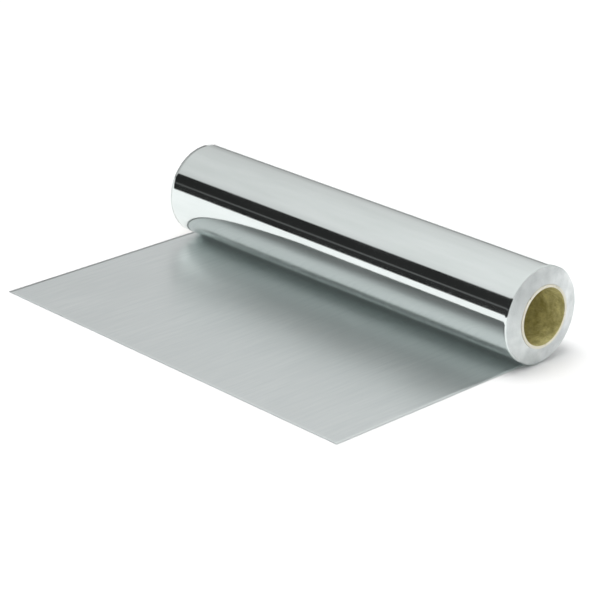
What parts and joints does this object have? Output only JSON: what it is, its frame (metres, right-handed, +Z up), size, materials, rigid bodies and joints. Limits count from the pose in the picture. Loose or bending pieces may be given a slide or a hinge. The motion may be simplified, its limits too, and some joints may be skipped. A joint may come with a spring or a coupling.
{
  "type": "roll of metal foil sheet on a paperboard core",
  "caption": "Wide metal foil sheet wound on a spiral-wound paperboard core, with its leading length laid out flat on the table.",
  "frame": {"origin": "the middle of the core's axis, which is also the roll's axis", "axes": "+X runs along the roll's axis; +Z is up; the flat leaf lies towards -Y, so the roll winds it up by rolling towards -Y"},
  "size_m": [0.3065, 0.1922, 0.0607],
  "materials": {
    "foil": "mirror bright on the outside, satin on the inside",
    "kraft_board": "matte",
    "grey_board": "matte",
    "tape": "matte"
  },
  "bodies": {
    "leaf": {"foil_leaf": "foil"},
    "outer_lap": {"foil_outer_lap": "foil"},
    "roll": {"foil_coil": "foil", "start_tape": "tape", "core_inner_ply": "kraft_board", "core_second_ply": "grey_board", "core_third_ply": "grey_board", "core_outer_ply": "kraft_board"}
  },
  "joints": [
    {"name": "roll_travel", "type": "slide", "parent": "leaf", "child": "outer_lap", "axis": [0, -1, 0], "range_m": [-0.191, 0.09]},
    {"name": "roll_spin", "type": "hinge", "parent": "outer_lap", "child": "roll", "pos_m": [0, 0, 0], "axis": [1, 0, 0], "range_deg": [-360, 170]}
  ],
  "couplings": [
    {"joint": "roll_spin", "follows": "roll_travel", "rad_per_m": 32.787}
  ]
}
